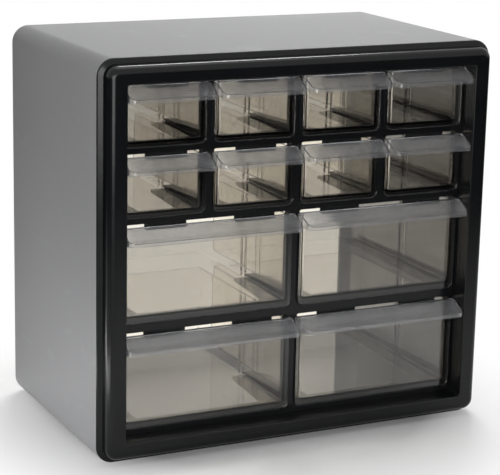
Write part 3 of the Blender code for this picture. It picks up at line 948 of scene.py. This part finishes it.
def flat_piece(name, corners, finish):
    """A flat piece of the studio with four corners."""
    mesh = bpy.data.meshes.new(name)
    mesh.from_pydata(corners, [], [(0, 1, 2, 3)])
    mesh.materials.append(finish.material)
    item = bpy.data.objects.new(name, mesh)
    studio.objects.link(item)
    return item


def add_floor():
    """Pale floor that turns plain white away from the cabinet, and a painted dark reflection far
    off.
    """
    half = FLOOR_SIZE / 2
    corners = [(-half, -half, 0), (half, -half, 0), (half, half, 0), (-half, half, 0)]
    finish = Finish("floor_white", Base_Color=FLOOR_WHITE, Roughness=0.9, Specular_IOR_Level=0.0)
    reach = finish.node("ShaderNodeVectorMath", {"operation": "LENGTH"}, {0: finish.place}, "Value")
    camera, mirror, glass = (finish.ray(kind) for kind in ("Camera", "Glossy", "Transmission"))
    looks = camera.highest(mirror).highest(glass)
    white_share = finish.ramp(reach, FLOOR_FADE_START, FLOOR_FADE_END) * looks
    # Painted reflection: far off, mirrors see the floor as a dim glow, painted darkness where light
    # falls off.
    painted_dark_reflection_share = finish.ramp(reach, GLOSS_FADE_START, GLOSS_FADE_END) * mirror
    surface = Value(finish, finish.shader.outputs[0])
    for share, glow in ((white_share, FLOOR_FADE_GLOW), (painted_dark_reflection_share, GLOSS_FADE_GLOW)):
        far = finish.node("ShaderNodeEmission", None, {"Strength": glow})
        surface = finish.node("ShaderNodeMixShader", None, {0: share, 1: surface, 2: far})
    finish.tree.links.new(surface.socket, finish.tree.nodes["Material Output"].inputs["Surface"])
    floor = flat_piece("studio_floor", corners, finish)


def add_rear_card():
    """A card close behind the open back that glows warm white: painted light for a lit backdrop,
    with painted shade darker at its left end and its top. Only the clear drawers and the inside see
    it."""
    left = -REAR_CARD_LEFT_SHARE * HALF_WIDTH
    right = HALF_WIDTH - CASE_WALL
    outline = [(left, REAR_CARD_FOOT), (right, REAR_CARD_FOOT), (right, HEIGHT), (left, HEIGHT)]
    finish = Finish(
        "card_painted_glow",
        Base_Color=NO_COLOUR, Roughness=0.9, Specular_IOR_Level=0.0, Emission_Strength=1.0,
    )
    # Painted shade: the glow dims towards the card's left end and its top.
    lit = finish.ramp(finish.axis("X"), REAR_CARD_DARK_X, REAR_CARD_LIGHT_X)
    shade = finish.ramp(finish.axis("Z"), REAR_CARD_SHADE_START, REAR_CARD_SHADE_END)
    share = lit * (1 - REAR_CARD_SHADE * shade)
    # Painted light: the card glows in these colours though it is no lamp.
    finish.feed("Emission Color", finish.mixed(share, *REAR_CARD_GLOW))
    card = flat_piece("rear_card", upright(outline, REAR_Y + REAR_CARD_DISTANCE), finish)
    card.visible_camera = False
    card.visible_shadow = False


def set_world(ambient):
    """Plain grey daylight that the camera, mirrors and glass see as white."""
    world = bpy.data.worlds.new("studio_air")
    bpy.context.scene.world = world
    world.use_nodes = True
    tree = world.node_tree
    tree.nodes.clear()
    path = tree.nodes.new("ShaderNodeLightPath")
    seen = path.outputs["Is Camera Ray"]
    for label in ("Is Glossy Ray", "Is Transmission Ray"):
        highest = tree.nodes.new("ShaderNodeMath")
        highest.operation = "MAXIMUM"
        tree.links.new(seen, highest.inputs[0])
        tree.links.new(path.outputs[label], highest.inputs[1])
        seen = highest.outputs[0]
    plain = tree.nodes.new("ShaderNodeBackground")
    plain.inputs["Strength"].default_value = ambient
    white = tree.nodes.new("ShaderNodeBackground")
    white.inputs["Strength"].default_value = 1.0
    mix = tree.nodes.new("ShaderNodeMixShader")
    output = tree.nodes.new("ShaderNodeOutputWorld")
    tree.links.new(seen, mix.inputs[0])
    tree.links.new(plain.outputs[0], mix.inputs[1])
    tree.links.new(white.outputs[0], mix.inputs[2])
    tree.links.new(mix.outputs[0], output.inputs["Surface"])
    for node in (plain, white):
        node.inputs["Color"].default_value = (1, 1, 1, 1)


def add_camera():
    """Camera fitted to the cabinet's edges: turned, tilted and rolled about its target."""
    forward = Vector((
        math.sin(CAMERA_YAW) * math.cos(CAMERA_PITCH),
        math.cos(CAMERA_YAW) * math.cos(CAMERA_PITCH),
        math.sin(CAMERA_PITCH),
    ))
    level = Vector((math.cos(CAMERA_YAW), -math.sin(CAMERA_YAW), 0))
    upward = level.cross(forward)
    right = level * math.cos(CAMERA_ROLL) + upward * math.sin(CAMERA_ROLL)
    above = upward * math.cos(CAMERA_ROLL) - level * math.sin(CAMERA_ROLL)
    turn = Matrix((right, above, -forward)).transposed()
    lens = bpy.data.cameras.new("photo_camera")
    lens.lens = CAMERA_LENS
    lens.sensor_width = SENSOR_WIDTH
    lens.clip_start = CAMERA_CLIP_START
    item = bpy.data.objects.new("photo_camera", lens)
    place = CAMERA_TARGET - forward * CAMERA_DISTANCE
    item.matrix_world = Matrix.Translation(place) @ turn.to_4x4()
    studio.objects.link(item)
    bpy.context.scene.camera = item


workshop = new_collection("workshop")
dressed = new_collection("dressed_pieces")
studio = new_collection("studio")
clear = clear_finish()
frost = hood_finish()
ribs_group, rib_inputs = rib_tree()

add_piece(
    "cabinet_sleeve", case_mesh(), (case_finish(),), "housing", ("case_shell",)
)
add_piece(
    "cabinet_frame", frame_mesh(), (frame_finish(),), "housing", ("front_frame",)
)
add_drawers()

add_floor()
add_rear_card()
set_world(DAYLIGHT)
lamps = {name: area_light(name, **settings) for name, settings in LAMPS.items()}
lamps["rear_fill"].visible_glossy = False
add_camera()
bpy.context.scene.view_settings.view_transform = "Standard"
